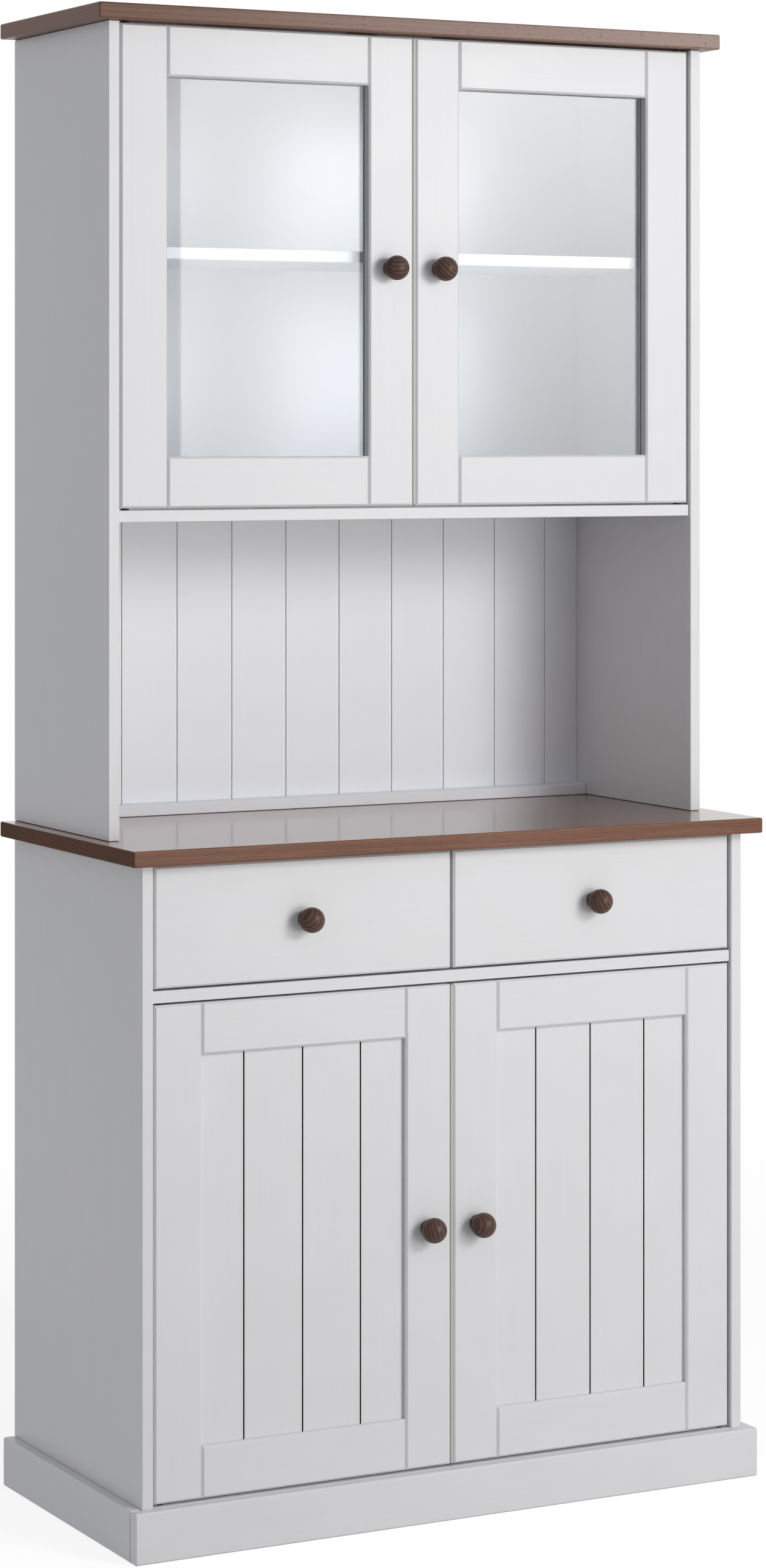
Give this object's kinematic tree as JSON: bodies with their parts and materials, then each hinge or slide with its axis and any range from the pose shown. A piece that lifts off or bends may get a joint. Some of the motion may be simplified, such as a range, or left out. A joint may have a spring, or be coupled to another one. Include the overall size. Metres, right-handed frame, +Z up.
{
  "type": "kitchen buffet",
  "caption": "Kitchen buffet and hutch in white-painted wood: glazed cupboard over an open grooved niche, stained worktop and crown board, drawers over panelled doors, turned knobs.",
  "frame": {"origin": "middle of the bounding box's footprint, on the floor", "axes": "+Z up, -Y out of the front, +X to the right of someone who faces the front"},
  "size_m": [0.903, 0.4328, 1.9],
  "materials": {
    "white_lacquer": "satin white lacquer",
    "white_hardboard": "matte white-faced board",
    "walnut_stain": "brown stain under satin lacquer",
    "float_glass": "clear",
    "steel": "zinc-plated"
  },
  "bodies": {
    "cabinet": {"base_side_left": "white_lacquer", "base_side_right": "white_lacquer", "base_bottom": "white_lacquer", "base_shelf": "white_lacquer", "base_back": "white_hardboard", "drawer_deck": "white_lacquer", "drawer_divider": "white_lacquer", "lower_door_stop": "white_lacquer", "plinth_front": "white_lacquer", "plinth_left": "white_lacquer", "plinth_right": "white_lacquer", "worktop": "walnut_stain", "hutch_side_left": "white_lacquer", "hutch_side_right": "white_lacquer", "hutch_floor": "white_lacquer", "hutch_shelf": "white_lacquer", "niche_rail": "white_lacquer", "niche_back": "white_lacquer", "hutch_back": "white_lacquer", "crown_board": "walnut_stain"},
    "left_drawer": {"drawer_left_front": "white_lacquer", "drawer_left_box": "white_hardboard", "drawer_left_bottom": "white_hardboard", "drawer_left_knob": "walnut_stain"},
    "right_drawer": {"drawer_right_front": "white_lacquer", "drawer_right_box": "white_hardboard", "drawer_right_bottom": "white_hardboard", "drawer_right_knob": "walnut_stain"},
    "lower_left_door": {"lower_left_door_hinge_stile": "white_lacquer", "lower_left_door_pull_stile": "white_lacquer", "lower_left_door_bottom_rail": "white_lacquer", "lower_left_door_top_rail": "white_lacquer", "lower_left_door_panel": "white_lacquer", "lower_left_door_pivot_low": "steel", "lower_left_door_pivot_high": "steel", "lower_left_door_knob": "walnut_stain"},
    "lower_right_door": {"lower_right_door_hinge_stile": "white_lacquer", "lower_right_door_pull_stile": "white_lacquer", "lower_right_door_bottom_rail": "white_lacquer", "lower_right_door_top_rail": "white_lacquer", "lower_right_door_panel": "white_lacquer", "lower_right_door_pivot_low": "steel", "lower_right_door_pivot_high": "steel", "lower_right_door_knob": "walnut_stain"},
    "upper_left_door": {"upper_left_door_hinge_stile": "white_lacquer", "upper_left_door_pull_stile": "white_lacquer", "upper_left_door_bottom_rail": "white_lacquer", "upper_left_door_top_rail": "white_lacquer", "upper_left_door_glass": "float_glass", "upper_left_door_pivot_low": "steel", "upper_left_door_pivot_high": "steel", "upper_left_door_knob": "walnut_stain"},
    "upper_right_door": {"upper_right_door_hinge_stile": "white_lacquer", "upper_right_door_pull_stile": "white_lacquer", "upper_right_door_bottom_rail": "white_lacquer", "upper_right_door_top_rail": "white_lacquer", "upper_right_door_glass": "float_glass", "upper_right_door_pivot_low": "steel", "upper_right_door_pivot_high": "steel", "upper_right_door_knob": "walnut_stain"}
  },
  "joints": [
    {"name": "left_drawer_slide", "type": "slide", "parent": "cabinet", "child": "left_drawer", "axis": [0, -1, 0], "range_m": [0, 0.25]},
    {"name": "right_drawer_slide", "type": "slide", "parent": "cabinet", "child": "right_drawer", "axis": [0, -1, 0], "range_m": [0, 0.25]},
    {"name": "lower_left_hinge", "type": "hinge", "parent": "cabinet", "child": "lower_left_door", "pos_m": [-0.403, -0.17258, 0.369], "axis": [0, 0, -1], "range_deg": [0, 95]},
    {"name": "lower_right_hinge", "type": "hinge", "parent": "cabinet", "child": "lower_right_door", "pos_m": [0.403, -0.17258, 0.369], "axis": [0, 0, 1], "range_deg": [0, 95]},
    {"name": "upper_left_hinge", "type": "hinge", "parent": "cabinet", "child": "upper_left_door", "pos_m": [-0.403, -0.07258, 1.5765], "axis": [0, 0, -1], "range_deg": [0, 95]},
    {"name": "upper_right_hinge", "type": "hinge", "parent": "cabinet", "child": "upper_right_door", "pos_m": [0.403, -0.07258, 1.5765], "axis": [0, 0, 1], "range_deg": [0, 95]}
  ]
}
